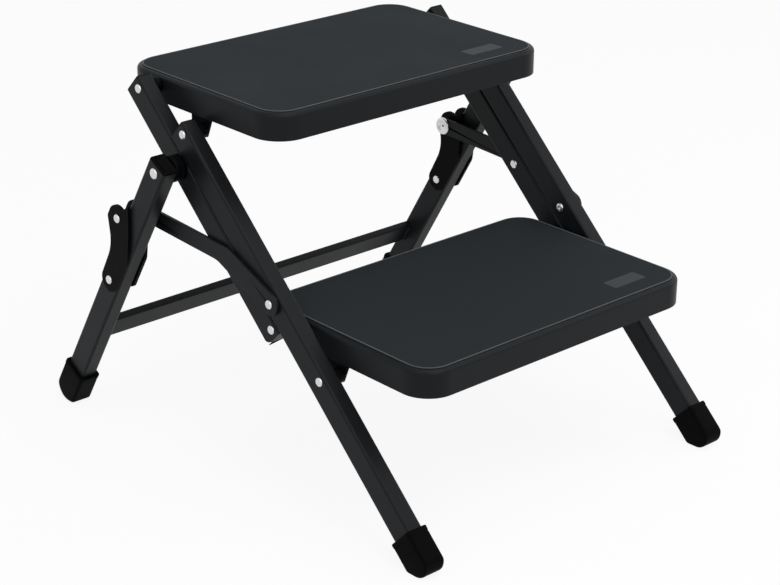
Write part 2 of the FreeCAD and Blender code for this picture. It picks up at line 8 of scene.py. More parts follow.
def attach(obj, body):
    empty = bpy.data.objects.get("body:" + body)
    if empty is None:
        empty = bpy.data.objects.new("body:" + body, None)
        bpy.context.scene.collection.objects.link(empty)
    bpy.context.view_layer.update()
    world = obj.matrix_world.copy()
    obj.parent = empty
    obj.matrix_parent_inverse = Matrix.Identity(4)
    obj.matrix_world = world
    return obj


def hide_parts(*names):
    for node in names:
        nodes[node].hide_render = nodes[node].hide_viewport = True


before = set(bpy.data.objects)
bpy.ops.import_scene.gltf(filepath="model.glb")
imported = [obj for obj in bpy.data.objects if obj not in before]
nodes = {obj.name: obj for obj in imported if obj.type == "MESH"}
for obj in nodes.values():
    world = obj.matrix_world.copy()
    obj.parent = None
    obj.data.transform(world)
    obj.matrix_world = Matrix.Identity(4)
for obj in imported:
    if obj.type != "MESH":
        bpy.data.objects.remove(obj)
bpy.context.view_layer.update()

scene = bpy.context.scene
scene.view_settings.view_transform = "Standard"

# Studio
# A pale floor, a white surround and soft lamps from above, the front and both sides.
# The camera stands where the photograph was taken from, and its lens is set for a frame 780 pixels wide.
CAMERA_PLACE = Vector((-1.5268, -1.6608, 1.1170))
CAMERA_TARGET = Vector((-0.1912, -0.2017, 0.2787))
CAMERA_ROLL = math.radians(0.565)
FOCAL_PIXELS = 2084.9
IMAGE_WIDTH = 780
SENSOR = 36.0
SURROUND_LIGHT = 0.50
FLOOR_HALF = 9.0
FLOOR_PALE = (0.93, 0.93, 0.93, 1)
FLOOR_ROUGH = 0.9
FLOOR_SHINE = 0.1
FLOOR_WHITE_SHARE = 0.90
NEAREST_SEEN = 0.05
FARTHEST_SEEN = 60
WHITE = (1, 1, 1, 1)

camera_data = bpy.data.cameras.new("camera")
camera_data.sensor_fit = "HORIZONTAL"
camera_data.sensor_width = SENSOR
camera_data.lens = FOCAL_PIXELS / IMAGE_WIDTH * SENSOR
camera_data.clip_start = NEAREST_SEEN
camera_data.clip_end = FARTHEST_SEEN
camera = bpy.data.objects.new("camera", camera_data)
scene.collection.objects.link(camera)
look = (CAMERA_TARGET - CAMERA_PLACE).normalized()
level_side = look.cross(Vector((0, 0, 1))).normalized()
level_up = level_side.cross(look)
right = level_side * math.cos(CAMERA_ROLL) + level_up * math.sin(CAMERA_ROLL)
upward = level_up * math.cos(CAMERA_ROLL) - level_side * math.sin(CAMERA_ROLL)
camera.matrix_world = Matrix.Translation(CAMERA_PLACE) @ Matrix((right, upward, -look)).transposed().to_4x4()
scene.camera = camera


def lamp(name, place, aim, width, watts):
    """Square area lamp that points at a spot on the stool."""
    data = bpy.data.lights.new(name, "AREA")
    data.shape = "SQUARE"
    data.size = width
    data.energy = watts
    lamp_object = bpy.data.objects.new(name, data)
    lamp_object.location = place
    lamp_object.rotation_euler = (Vector(aim) - Vector(place)).to_track_quat("-Z", "Y").to_euler()
    scene.collection.objects.link(lamp_object)


lamp("top_lamp", (0.1, -0.9, 2.6), (0, 0, 0.2), 2.0, 26)
lamp("front_lamp", (-0.8, -2.9, 1.7), (0, 0, 0.25), 1.6, 20)
lamp("left_lamp", (-2.1, -0.7, 1.9), (0, 0, 0.25), 0.5, 6)
lamp("right_lamp", (2.4, -1.2, 1.4), (0, 0, 0.25), 1.4, 11)


def seen_white(tree, lit, share):
    """Mix a lit shader with white for rays from the camera, mirrors and glass, by the given share."""
    path = tree.nodes.new("ShaderNodeLightPath")
    glossy = tree.nodes.new("ShaderNodeMath")
    glossy.operation = "MAXIMUM"
    tree.links.new(path.outputs["Is Camera Ray"], glossy.inputs[0])
    tree.links.new(path.outputs["Is Glossy Ray"], glossy.inputs[1])
    seen = tree.nodes.new("ShaderNodeMath")
    seen.operation = "MAXIMUM"
    tree.links.new(glossy.outputs[0], seen.inputs[0])
    tree.links.new(path.outputs["Is Transmission Ray"], seen.inputs[1])
    part = tree.nodes.new("ShaderNodeMath")
    part.operation = "MULTIPLY"
    part.inputs[1].default_value = share
    tree.links.new(seen.outputs[0], part.inputs[0])
    white = tree.nodes.new("ShaderNodeBackground" if lit.type == "BACKGROUND" else "ShaderNodeEmission")
    white.inputs["Color"].default_value = WHITE
    white.inputs["Strength"].default_value = 1.0
    mix = tree.nodes.new("ShaderNodeMixShader")
    tree.links.new(part.outputs[0], mix.inputs[0])
    tree.links.new(lit.outputs[0], mix.inputs[1])
    tree.links.new(white.outputs[0], mix.inputs[2])
    return mix


world = bpy.data.worlds.new("surround")
scene.world = world
world.use_nodes = True
surround = world.node_tree.nodes["Background"]
surround.inputs["Color"].default_value = WHITE
surround.inputs["Strength"].default_value = SURROUND_LIGHT
surround_mix = seen_white(world.node_tree, surround, 1.0)
world.node_tree.links.new(surround_mix.outputs[0], world.node_tree.nodes["World Output"].inputs["Surface"])

floor_mesh = bpy.data.meshes.new("floor")
floor_corners = [(x * FLOOR_HALF, y * FLOOR_HALF, 0) for x, y in [(-1, -1), (1, -1), (1, 1), (-1, 1)]]
floor_mesh.from_pydata(floor_corners, [], [(0, 1, 2, 3)])
floor = bpy.data.objects.new("floor", floor_mesh)
scene.collection.objects.link(floor)
floor_paint = bpy.data.materials.new("floor_paint")
floor_paint.use_nodes = True
floor_tree = floor_paint.node_tree
floor_shader = floor_tree.nodes["Principled BSDF"]
floor_shader.inputs["Base Color"].default_value = FLOOR_PALE
floor_shader.inputs["Roughness"].default_value = FLOOR_ROUGH
floor_shader.inputs["Specular IOR Level"].default_value = FLOOR_SHINE
floor_mix = seen_white(floor_tree, floor_shader, FLOOR_WHITE_SHARE)
floor_tree.links.new(floor_mix.outputs[0], floor_tree.nodes["Material Output"].inputs["Surface"])
floor_mesh.materials.append(floor_paint)


# Tubes of the frame
# The legs, bars and crossbar are rectangular steel tube, cut to length and drilled for the rivets.
# Their satin black powder coat has a fine orange peel, and the lighter colour along its corners is a painted
# highlight.
PAINT_DARK = (0.0062, 0.0074, 0.0086, 1)
PAINT_LIGHT = (0.0088, 0.0102, 0.0116, 1)
# The edge colour is a painted highlight along the edges of everything in the black coat.
PAINT_EDGE_HIGHLIGHT = (0.020, 0.022, 0.024, 1)
PAINT_SHINE = 0.10
PAINT_ROUGH = (0.34, 0.44)
PAINT_SCALES = (9.0, 700.0)
PAINT_RELIEF = (0.16, 0.0002)
EDGE_HIGHLIGHT_WIDTH = 0.0011
EDGE_STARTS_AT = 0.99
EDGE_FULL_AT = 0.84
EDGE_PATCHES = (0.35, 0.60)
LEAST_EDGE = 0.35
MOTTLE_ENDS = (0.3, 0.7)


def group_start(name, inputs, outputs):
    """New shader group with its named sockets; returns its tree, entry node and exit node."""
    tree = bpy.data.node_groups.new(name, "ShaderNodeTree")
    for label, kind, value in inputs:
        socket = tree.interface.new_socket(label, in_out="INPUT", socket_type=kind)
        socket.default_value = value
    for label, kind in outputs:
        tree.interface.new_socket(label, in_out="OUTPUT", socket_type=kind)
    return tree, tree.nodes.new("NodeGroupInput"), tree.nodes.new("NodeGroupOutput")


def edge_group():
    """Mask that is 1 on an outer edge and breaks up along it; it places a painted highlight on edges."""
    tree, entry, leave = group_start("edge_highlight_mask", [("Width", "NodeSocketFloat", 0.001),
                                                   ("Break Up", "NodeSocketFloat", 60.0)],
                                     [("Mask", "NodeSocketFloat")])
    bevel = tree.nodes.new("ShaderNodeBevel")
    bevel.samples = 4
    tree.links.new(entry.outputs["Width"], bevel.inputs["Radius"])
    geometry = tree.nodes.new("ShaderNodeNewGeometry")
    dot = tree.nodes.new("ShaderNodeVectorMath")
    dot.operation = "DOT_PRODUCT"
    tree.links.new(bevel.outputs["Normal"], dot.inputs[0])
    tree.links.new(geometry.outputs["Normal"], dot.inputs[1])
    spread = tree.nodes.new("ShaderNodeMapRange")
    spread.inputs["From Min"].default_value = EDGE_STARTS_AT
    spread.inputs["From Max"].default_value = EDGE_FULL_AT
    tree.links.new(dot.outputs["Value"], spread.inputs["Value"])
    place = tree.nodes.new("ShaderNodeTexCoord")
    noise = tree.nodes.new("ShaderNodeTexNoise")
    noise.inputs["Detail"].default_value = 3
    tree.links.new(place.outputs["Object"], noise.inputs["Vector"])
    tree.links.new(entry.outputs["Break Up"], noise.inputs["Scale"])
    patch = tree.nodes.new("ShaderNodeMapRange")
    patch.inputs["From Min"].default_value = EDGE_PATCHES[0]
    patch.inputs["From Max"].default_value = EDGE_PATCHES[1]
    patch.inputs["To Min"].default_value = LEAST_EDGE
    tree.links.new(noise.outputs["Fac"], patch.inputs["Value"])
    product = tree.nodes.new("ShaderNodeMath")
    product.operation = "MULTIPLY"
    tree.links.new(spread.outputs["Result"], product.inputs[0])
    tree.links.new(patch.outputs["Result"], product.inputs[1])
    tree.links.new(product.outputs[0], leave.inputs["Mask"])
    return tree


def mottle_group():
    """Two-tone mottle with a varying roughness and a fine height for the bump."""
    tree, entry, leave = group_start("mottle", [("Dark", "NodeSocketColor", (0, 0, 0, 1)),
                                                ("Light", "NodeSocketColor", (1, 1, 1, 1)),
                                                ("Mottle Scale", "NodeSocketFloat", 14.0),
                                                ("Grain Scale", "NodeSocketFloat", 900.0),
                                                ("Rough Low", "NodeSocketFloat", 0.4),
                                                ("Rough High", "NodeSocketFloat", 0.5)],
                                     [("Color", "NodeSocketColor"), ("Roughness", "NodeSocketFloat"),
                                      ("Height", "NodeSocketFloat")])
    place = tree.nodes.new("ShaderNodeTexCoord")
    broad = tree.nodes.new("ShaderNodeTexNoise")
    broad.inputs["Detail"].default_value = 4
    tree.links.new(place.outputs["Object"], broad.inputs["Vector"])
    tree.links.new(entry.outputs["Mottle Scale"], broad.inputs["Scale"])
    fine = tree.nodes.new("ShaderNodeTexNoise")
    fine.inputs["Detail"].default_value = 2
    tree.links.new(place.outputs["Object"], fine.inputs["Vector"])
    tree.links.new(entry.outputs["Grain Scale"], fine.inputs["Scale"])
    tone = tree.nodes.new("ShaderNodeMix")
    tone.data_type = "RGBA"
    tree.links.new(broad.outputs["Fac"], tone.inputs["Factor"])
    tree.links.new(entry.outputs["Dark"], tone.inputs["A"])
    tree.links.new(entry.outputs["Light"], tone.inputs["B"])
    rough = tree.nodes.new("ShaderNodeMapRange")
    rough.inputs["From Min"].default_value = MOTTLE_ENDS[0]
    rough.inputs["From Max"].default_value = MOTTLE_ENDS[1]
    tree.links.new(broad.outputs["Fac"], rough.inputs["Value"])
    tree.links.new(entry.outputs["Rough Low"], rough.inputs["To Min"])
    tree.links.new(entry.outputs["Rough High"], rough.inputs["To Max"])
    tree.links.new(tone.outputs["Result"], leave.inputs["Color"])
    tree.links.new(rough.outputs["Result"], leave.inputs["Roughness"])
    tree.links.new(fine.outputs["Fac"], leave.inputs["Height"])
    return tree


edge_highlight_mask = edge_group()
mottle = mottle_group()


def surface(name, dark, light, scales, rough, relief, shine, edge=None):
    """Material of two mottled tones with a fine relief and, where an edge colour is given, a painted
    highlight of lighter colour along its edges.
    """
    material = bpy.data.materials.new(name)
    material.use_nodes = True
    tree = material.node_tree
    shader = tree.nodes["Principled BSDF"]
    shader.inputs["Specular IOR Level"].default_value = shine
    tone = tree.nodes.new("ShaderNodeGroup")
    tone.node_tree = mottle
    for label, value in [("Dark", dark), ("Light", light), ("Mottle Scale", scales[0]),
                         ("Grain Scale", scales[1]), ("Rough Low", rough[0]), ("Rough High", rough[1])]:
        tone.inputs[label].default_value = value
    tree.links.new(tone.outputs["Roughness"], shader.inputs["Roughness"])
    bump = tree.nodes.new("ShaderNodeBump")
    bump.inputs["Strength"].default_value = relief[0]
    bump.inputs["Distance"].default_value = relief[1]
    tree.links.new(tone.outputs["Height"], bump.inputs["Height"])
    tree.links.new(bump.outputs["Normal"], shader.inputs["Normal"])
    if edge is None:
        tree.links.new(tone.outputs["Color"], shader.inputs["Base Color"])
        return material
    # Painted highlight: the edge colour is mixed into the base colour along the edges.
    mask = tree.nodes.new("ShaderNodeGroup")
    mask.node_tree = edge_highlight_mask
    mask.inputs["Width"].default_value = EDGE_HIGHLIGHT_WIDTH
    edge_highlight_mix = tree.nodes.new("ShaderNodeMix")
    edge_highlight_mix.data_type = "RGBA"
    edge_highlight_mix.inputs["B"].default_value = edge
    tree.links.new(mask.outputs["Mask"], edge_highlight_mix.inputs["Factor"])
    tree.links.new(tone.outputs["Color"], edge_highlight_mix.inputs["A"])
    tree.links.new(edge_highlight_mix.outputs["Result"], shader.inputs["Base Color"])
    return material


black_paint = surface("black_paint", PAINT_DARK, PAINT_LIGHT, PAINT_SCALES, PAINT_ROUGH, PAINT_RELIEF,
                      PAINT_SHINE, PAINT_EDGE_HIGHLIGHT)


def dress(names, material):
    """Give each CAD node the material in all its slots."""
    for name in names:
        mesh = nodes[name].data
        if not mesh.materials:
            mesh.materials.append(material)
        for index in range(len(mesh.materials)):
            mesh.materials[index] = material


def both(name):
    """Names of the left and right twin of a piece."""
    return [name + "_left", name + "_right"]


dress(both("front_leg") + both("rear_bar") + both("rear_leg") + ["rear_crossbar"], black_paint)

# Weld seams of the crossbar
# The crossbar's ends are welded to the inner faces of the rear legs, with a rippled bead along the
# front corner of each joint, and the bead is painted with the frame.
WELD_RADIUS = 0.0020
WELD_RIPPLE = 0.0003
WELD_RIPPLES = 9
WELD_STEPS = 54
WELD_SIDES = 10
WELD_END_SHARE = 0.25
WELD_END_GROWTH = 6
WELD_REACH = 0.9
SMOOTH_UNDER = math.radians(35)
REAR_LEG_LEAN = math.radians(59.5)
CROSSBAR_HALF_HEIGHT = 0.0150
CROSSBAR_HALF_DEPTH = 0.0050


def skin(name, parts, material):
    """Mesh object from parts; each part is a list of point rings and how its ends close: capped or joined."""
    shape = bmesh.new()
    for rings, ends in parts:
        rows = [[shape.verts.new(point) for point in ring] for ring in rings]
        if ends == "joined":
            rows.append(rows[0])
        for row, following in zip(rows, rows[1:]):
            for index in range(len(row)):
                after = (index + 1) % len(row)
                shape.faces.new((row[index], row[after], following[after], following[index]))
        if ends == "capped":
            for row in (rows[0], rows[-1]):
                cap = shape.faces.new(row)
                bmesh.ops.triangulate(shape, faces=[cap])
    bmesh.ops.recalc_face_normals(shape, faces=shape.faces)
    data = bpy.data.meshes.new(name)
    shape.to_mesh(data)
    shape.free()
    data.shade_smooth()
    data.set_sharp_from_angle(angle=SMOOTH_UNDER)
    data.materials.append(material)
    piece = bpy.data.objects.new(name, data)
    scene.collection.objects.link(piece)
    return piece


def fit(piece, body, slot_name, *replaced):
    """Ride a piece on its body in place of the CAD nodes named; slot_name is not used."""
    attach(piece, body)
    if replaced:
        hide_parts(*replaced)


def side_box(name, side):
    """Lowest and highest corner of a CAD node's part on one side, 1 for right and -1 for left."""
    corners = [vertex.co for vertex in nodes[name].data.vertices if vertex.co.x * side > 0]
    low = Vector([min(corner[axis] for corner in corners) for axis in range(3)])
    high = Vector([max(corner[axis] for corner in corners) for axis in range(3)])
    return low, high


def weld_bead(start, end):
    """Rings of a rippled bead between two points at one distance from the middle plane."""
    run = end - start
    along = run.normalized()
    across = Vector((1, 0, 0))
    up = along.cross(across)
    rings = []
    for step in range(WELD_STEPS + 1):
        share = step / WELD_STEPS
        taper = min(1.0, WELD_END_GROWTH * share + WELD_END_SHARE,
                    WELD_END_GROWTH * (1 - share) + WELD_END_SHARE)
        radius = (WELD_RADIUS + WELD_RIPPLE * math.sin(share * WELD_RIPPLES * math.tau)) * taper
        centre = start + run * share
        rings.append([centre + (across * math.cos(turn) + up * math.sin(turn)) * radius
                      for turn in [math.tau * index / WELD_SIDES for index in range(WELD_SIDES)]])
    return rings


crossbar_low, crossbar_high = side_box("rear_crossbar", 1)
crossbar_middle = (crossbar_low + crossbar_high) / 2
leg_upward = Vector((0, -math.cos(REAR_LEG_LEAN), math.sin(REAR_LEG_LEAN)))
leg_forward = Vector((0, -math.sin(REAR_LEG_LEAN), -math.cos(REAR_LEG_LEAN)))
half_bead = leg_upward * CROSSBAR_HALF_HEIGHT * WELD_REACH
weld_parts = []
for side in (1, -1):
    centre = Vector((side * crossbar_high.x, crossbar_middle.y, crossbar_middle.z))
    corner = centre + leg_forward * CROSSBAR_HALF_DEPTH
    weld_parts.append((weld_bead(corner - half_bead, corner + half_bead), "capped"))
crossbar_welds = skin("crossbar_welds", weld_parts, black_paint)
fit(crossbar_welds, "rear_legs", "black_paint")

# Treads
# Each tread is one pressing of sheet steel with a skirt, and its lower edge is curled inward.
# A channel and two bracket plates are welded inside, and all of it has the frame's black coat; the bracket
# plates are painted darker than the coat, as painted shade.
TREAD_SHEET = 0.0015
HEM_REACH = 0.0042
HEM_RISE = 0.0060
TREAD_HALF_WIDTH = 0.2060
TREAD_CORNER = 0.0350
CORNER_STEPS = 10
HEM_CURL = [(0.0003, 0.0010), (0.0009, 0.0002), (HEM_REACH - 0.0012, 0.0), (HEM_REACH - 0.0003, 0.0005),
            (HEM_REACH, 0.0016), (HEM_REACH, HEM_RISE), (HEM_REACH - TREAD_SHEET, HEM_RISE),
            (HEM_REACH - TREAD_SHEET, 0.0018), (0.0012, 0.0018)]
PLATE_EDGE = 0.0006
PLATE_EDGE_STEPS = 2
SHARP_ABOVE = math.radians(40)
POINTS_MERGE_WITHIN = 0.00001
# The brackets take a darker copy of the coat, with no edge highlight, as painted shade.
BRACKET_SHADE_DARK = (0.0030, 0.0034, 0.0040, 1)
BRACKET_SHADE_LIGHT = (0.0044, 0.0050, 0.0058, 1)
BRACKET_ROUGH = (0.50, 0.60)
BRACKET_SHINE = 0.03

dress(["upper_tread", "lower_tread", "upper_stiffener", "lower_stiffener"], black_paint)
bracket_painted_shade = surface("bracket_painted_shade", BRACKET_SHADE_DARK, BRACKET_SHADE_LIGHT, PAINT_SCALES, BRACKET_ROUGH,
                        PAINT_RELIEF, BRACKET_SHINE)
dress(both("upper_bracket") + both("lower_bracket"), bracket_painted_shade)


def rounded_loop(half_x, low, high, corner, steps=CORNER_STEPS):
    """Points round a rectangle with rounded corners, as (x, y) pairs."""
    points = []
    for middle_x, middle_y, turn in [(half_x - corner, low + corner, -90),
                                     (half_x - corner, high - corner, 0),
                                     (corner - half_x, high - corner, 90),
                                     (corner - half_x, low + corner, 180)]:
        for step in range(steps + 1):
            angle = math.radians(turn + 90 * step / steps)
            points.append((middle_x + corner * math.cos(angle), middle_y + corner * math.sin(angle)))
    return points


def tread_ring(level, inset, height):
    """Points round a tread at a height, inset from the outside of its skirt."""
    low, high = side_box(level + "_tread", 1)
    loop = rounded_loop(TREAD_HALF_WIDTH - inset, low.y + inset, high.y - inset, TREAD_CORNER - inset)
    return [(x, y, height) for x, y in loop]


def soften(names, width):
    """Round the sharp edges of CAD nodes a little."""
    for name in names:
        weld = nodes[name].modifiers.new("join", "WELD")
        weld.merge_threshold = POINTS_MERGE_WITHIN
        bevel = nodes[name].modifiers.new("edge", "BEVEL")
        bevel.width = width
        bevel.segments = PLATE_EDGE_STEPS
        bevel.limit_method = "ANGLE"
        bevel.angle_limit = SHARP_ABOVE
        bevel.harden_normals = True


soften(both("upper_bracket") + both("lower_bracket"), PLATE_EDGE)
for level in ("upper", "lower"):
    hem = side_box(level + "_tread", 1)[0].z
    hem_rings = [tread_ring(level, inset, hem + rise) for inset, rise in HEM_CURL]
    hem_curl = skin(level + "_hem_curl", [(hem_rings, "joined")], black_paint)
    fit(hem_curl, level + "_step", "black_paint")

# Mats
# Each tread carries a mat of dark blue-grey rubber, glued down, with a fine leather grain.
# A narrow raised rim runs round its edge, and its lighter colour is a painted highlight where the edge
# catches the light.
MAT_DARK = (0.0170, 0.0208, 0.0230, 1)
MAT_LIGHT = (0.0225, 0.0265, 0.0290, 1)
MAT_SHINE = 0.03
MAT_ROUGH = (0.62, 0.74)
MAT_SCALES = (10.0, 1500.0)
MAT_RELIEF = (0.30, 0.0003)
MAT_INSET = 0.0060
# The rim's lighter colour is a painted highlight of the mat's edge.
RIM_HIGHLIGHT_DARK = (0.070, 0.078, 0.081, 1)
RIM_HIGHLIGHT_LIGHT = (0.105, 0.115, 0.118, 1)
RIM_ROUGH = (0.45, 0.55)
RIM_WIDTH = 0.0016
RIM_RISE = 0.0003
RIM_SINK = 0.0006
RIM_BEAD = [(0.0, -RIM_SINK), (0.0, RIM_RISE * 0.5), (RIM_WIDTH * 0.15, RIM_RISE),
            (RIM_WIDTH * 0.8, RIM_RISE), (RIM_WIDTH, RIM_RISE * 0.4), (RIM_WIDTH, -RIM_SINK)]

mat_rubber = surface("mat_rubber", MAT_DARK, MAT_LIGHT, MAT_SCALES, MAT_ROUGH, MAT_RELIEF, MAT_SHINE)
rim_painted_highlight = surface("rim_painted_highlight", RIM_HIGHLIGHT_DARK, RIM_HIGHLIGHT_LIGHT, MAT_SCALES, RIM_ROUGH, MAT_RELIEF, MAT_SHINE)
dress(["upper_mat", "lower_mat"], mat_rubber)
for level in ("upper", "lower"):
    mat_top = side_box(level + "_mat", 1)[1].z
    rim_rings = [tread_ring(level, MAT_INSET + inset, mat_top + rise) for inset, rise in RIM_BEAD]
    mat_rim = skin(level + "_mat_rim", [(rim_rings, "joined")], rim_painted_highlight)
    fit(mat_rim, level + "_step", "mat_rubber")

# Label blanks
# A bare plate of grey plastic is let into each mat near its right front corner and glued down,
# flush with the rubber.
LABEL_DARK = (0.037, 0.042, 0.046, 1)
LABEL_LIGHT = (0.045, 0.050, 0.054, 1)
LABEL_SCALES = (40.0, 1500.0)
LABEL_ROUGH = (0.5, 0.6)
LABEL_RELIEF = (0.1, 0.0001)
LABEL_SHINE = 0.05

label_plastic = surface("label_plastic", LABEL_DARK, LABEL_LIGHT, LABEL_SCALES, LABEL_ROUGH, LABEL_RELIEF,
                        LABEL_SHINE)
dress(["upper_label_blank", "lower_label_blank"], label_plastic)

# Feet
# Each leg stands in a cap of black rubber with a thin lip, flat on the floor.
# Its toe, which points away from the stool, is well rounded, and its other lower edges a little.
RUBBER_DARK = (0.0012, 0.0012, 0.0014, 1)
RUBBER_LIGHT = (0.0022, 0.0023, 0.0026, 1)
RUBBER_SCALES = (25.0, 700.0)
RUBBER_ROUGH = (0.50, 0.62)
RUBBER_RELIEF = (0.20, 0.0002)
RUBBER_SHINE = 0.025
FOOT_HALF_DEPTH = 0.0190
FOOT_HALF_WIDTH = 0.0140
FOOT_CORNER = 0.0045
FRONT_LOWER_ROUND = 0.0022
REAR_LOWER_ROUND = 0.0050
TUBE_HALF_DEPTH = 0.0150
TUBE_HALF_WIDTH = 0.0100
TUBE_CORNER = 0.0030
FRONT_LEG_LEAN = math.radians(43.5)
FRONT_LEG_MIDDLE = 0.2240
REAR_LEG_MIDDLE = 0.2590
FRONT_FLOOR_Y = -0.30663
REAR_FLOOR_Y = 0.30083
FRONT_RIM = 0.0510
REAR_RIM = 0.0570
FRONT_TOE_ROUND = 0.0155
REAR_TOE_ROUND = 0.0190
LEG_CORNER_STEPS = 6
SIDE_STEPS = 16
TUBE_PLAY = 0.0001
SOCKET_DROPS = (0.006, 0.0008)
LIP_PROFILE = [(-0.0030, 0.0001), (-0.0012, 0.0), (-0.0004, 0.0004), (0.0, 0.0012), (0.0, 0.0048),
               (-0.0005, 0.0054)]
UNDER_LIP_INSET = 0.0005
LOWER_ROUND_TURN = 15
SOLE_INSETS = (0.0080, 0.0105, 0.0128)
SOLE_CORNER = 0.0005
LEAST_FOOT_CORNER = 0.0006

foot_rubber = surface("foot_rubber", RUBBER_DARK, RUBBER_LIGHT, RUBBER_SCALES, RUBBER_ROUGH, RUBBER_RELIEF,
                      RUBBER_SHINE)


def level_at(height):
    """Height up the leg that is the same all round it."""
    return lambda toward: height


def leg_ring(base, upward_way, outward_way, half_width, half_depth, corner, heights):
    """Ring round a leg: heights gives the distance up the leg for each distance towards the toe."""
    loop = rounded_loop(half_width, -half_depth, half_depth, corner, LEG_CORNER_STEPS)
    arc = LEG_CORNER_STEPS + 1
    outline = []
    for index, (x, toward) in enumerate(loop):
        outline.append((x, toward))
        if index % (2 * arc) == arc - 1:
            reach = loop[index + 1][1] - toward
            outline += [(x, toward + reach * step / SIDE_STEPS) for step in range(1, SIDE_STEPS)]
    return [base + Vector((x, 0, 0)) + outward_way * toward + upward_way * heights(toward)
            for x, toward in outline]


def foot_rings_of(side, middle, floor_y, lean, facing, rim, toe_round, lower_round):
    """Rings of one foot; facing is -1 for a front foot and 1 for a rear foot."""
    base = Vector((side * middle, floor_y, 0))
    upward_way = Vector((0, -facing * math.cos(lean), math.sin(lean)))
    outward_way = Vector((0, facing * math.sin(lean), math.cos(lean)))
    toe_middle = FOOT_HALF_DEPTH - toe_round
    toe_height = (toe_round - toe_middle * math.cos(lean)) / math.sin(lean)

    def sole(toward):
        """Height of the underside up the leg, from the floor's slope and the toe's rounding."""
        if toward <= toe_middle - toe_round * math.cos(lean):
            return -toward * math.cos(lean) / math.sin(lean)
        return toe_height - math.sqrt(max(toe_round ** 2 - (toward - toe_middle) ** 2, 0.0))

    rings = [leg_ring(base, upward_way, outward_way, TUBE_HALF_WIDTH + TUBE_PLAY, TUBE_HALF_DEPTH + TUBE_PLAY,
                      TUBE_CORNER, level_at(rim - drop)) for drop in SOCKET_DROPS]
    for grow, drop in LIP_PROFILE:
        rings.append(leg_ring(base, upward_way, outward_way, FOOT_HALF_WIDTH + grow, FOOT_HALF_DEPTH + grow,
                              FOOT_CORNER + grow, level_at(rim - drop)))
    for turn in range(0, 91, LOWER_ROUND_TURN):
        inset = UNDER_LIP_INSET + lower_round * (1 - math.cos(math.radians(turn)))
        lift = lower_round * (1 - math.sin(math.radians(turn)))
        rings.append(leg_ring(base, upward_way, outward_way, FOOT_HALF_WIDTH - inset, FOOT_HALF_DEPTH - inset,
                              max(FOOT_CORNER - inset, LEAST_FOOT_CORNER),
                              lambda toward: sole(toward) + lift))
    for inset in SOLE_INSETS:
        rings.append(leg_ring(base, upward_way, outward_way, FOOT_HALF_WIDTH - inset, FOOT_HALF_DEPTH - inset,
                              SOLE_CORNER, sole))
    return rings


for place, middle, floor_y, lean, facing, rim, toe_round, lower_round, body in [
        ("front", FRONT_LEG_MIDDLE, FRONT_FLOOR_Y, FRONT_LEG_LEAN, -1, FRONT_RIM, FRONT_TOE_ROUND,
         FRONT_LOWER_ROUND, "front_frame"),
        ("rear", REAR_LEG_MIDDLE, REAR_FLOOR_Y, REAR_LEG_LEAN, 1, REAR_RIM, REAR_TOE_ROUND, REAR_LOWER_ROUND,
         "rear_legs")]:
    for side, hand in ((1, "right"), (-1, "left")):
        foot_rings = foot_rings_of(side, middle, floor_y, lean, facing, rim, toe_round, lower_round)
        foot = skin(place + "_rubber_foot_" + hand, [(foot_rings, "capped")], foot_rubber)
        fit(foot, body, "foot_rubber", place + "_foot_" + hand)

# Plugs
# The upper end of each tube is closed by a push-in plug of black plastic, with a rounded edge and a
# shallow dish in its end.
PLASTIC_DARK = (0.0012, 0.0013, 0.0015, 1)
PLASTIC_LIGHT = (0.0022, 0.0024, 0.0028, 1)
PLASTIC_SCALES = (20.0, 900.0)
PLASTIC_ROUGH = (0.42, 0.52)
PLASTIC_RELIEF = (0.12, 0.0001)
PLASTIC_SHINE = 0.03
PLUG_FLANGE = 0.0020
PLUG_DEPTH = 0.0060
PLUG_PROFILE = [(0.0017, -PLUG_DEPTH), (0.0017, -0.0001), (0.0001, 0.0), (0.0, 0.0006), (0.0002, 0.0013),
                (0.0007, 0.0018), (0.0014, 0.0020), (0.0026, 0.0020), (0.0034, 0.0016), (0.0040, 0.0012),
                (0.0060, 0.0011)]
LEAST_PLUG_CORNER = 0.0010

black_plastic = surface("black_plastic", PLASTIC_DARK, PLASTIC_LIGHT, PLASTIC_SCALES, PLASTIC_ROUGH,
                        PLASTIC_RELIEF, PLASTIC_SHINE)


def plug_rings_of(name, side, lean, facing):
    """Rings of the plug that closes a tube, at the place of its CAD node."""
    low, high = side_box(name, side)
    upward_way = Vector((0, -facing * math.cos(lean), math.sin(lean)))
    outward_way = Vector((0, facing * math.sin(lean), math.cos(lean)))
    corners = [vertex.co for vertex in nodes[name].data.vertices]
    top = max(corner.dot(upward_way) for corner in corners)
    middle_out = (max(corner.dot(outward_way) for corner in corners) +
                  min(corner.dot(outward_way) for corner in corners)) / 2
    base = upward_way * (top - PLUG_FLANGE) + outward_way * middle_out + Vector(((low.x + high.x) / 2, 0, 0))
    return [leg_ring(base, upward_way, outward_way, TUBE_HALF_WIDTH - inset, TUBE_HALF_DEPTH - inset,
                     max(TUBE_CORNER - inset, LEAST_PLUG_CORNER), level_at(height))
            for inset, height in PLUG_PROFILE]


for place, lean, facing, body in [("front_leg", FRONT_LEG_LEAN, -1, "front_frame"),
                                  ("rear_bar", FRONT_LEG_LEAN, -1, "rear_bars"),
                                  ("rear_leg", REAR_LEG_LEAN, 1, "rear_legs")]:
    for side, hand in ((1, "right"), (-1, "left")):
        node = place + "_plug_" + hand
        plug_rings = plug_rings_of(node, side, lean, facing)
        plug = skin(place + "_cap_" + hand, [(plug_rings, "capped")], black_plastic)
        fit(plug, body, "black_plastic", node)

